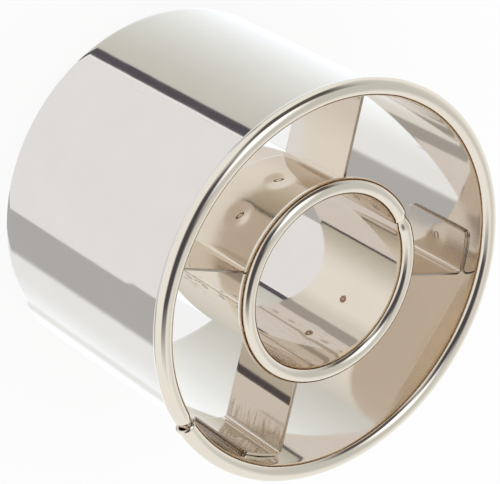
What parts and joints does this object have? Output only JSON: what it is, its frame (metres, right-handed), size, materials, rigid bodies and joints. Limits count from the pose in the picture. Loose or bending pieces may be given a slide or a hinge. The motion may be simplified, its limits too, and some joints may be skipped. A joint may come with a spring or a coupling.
{
  "type": "donut cutter",
  "caption": "Donut cutter: a round outer cutter and a concentric hole cutter of rolled sheet steel with curled rims, held together by spot-welded hat-shaped straps.",
  "frame": {"origin": "on the cutter's axis, in the plane of the cutting edges that it stands on", "axes": "+Z along the cutter's axis from the cutting edges to the curled rims, +X towards the near strap, +Y towards the outer lap seam"},
  "size_m": [0.0904, 0.0904, 0.0635],
  "materials": {
    "cutter_steel": "bright rolled sheet, nearly mirror-like, with fine handling scratches",
    "strap_steel": "bright sheet, slightly duller than the walls, with scratches along the bends",
    "weld": "spot-weld nugget with a straw-brown heat tint"
  },
  "bodies": {
    "root": {"outer_cutter": "cutter_steel", "hole_cutter": "cutter_steel", "near_strap": "strap_steel", "far_strap": "strap_steel", "tab_welds": "weld", "saddle_welds": "weld", "outer_seam_welds": "weld", "hole_seam_welds": "weld"}
  },
  "joints": []
}
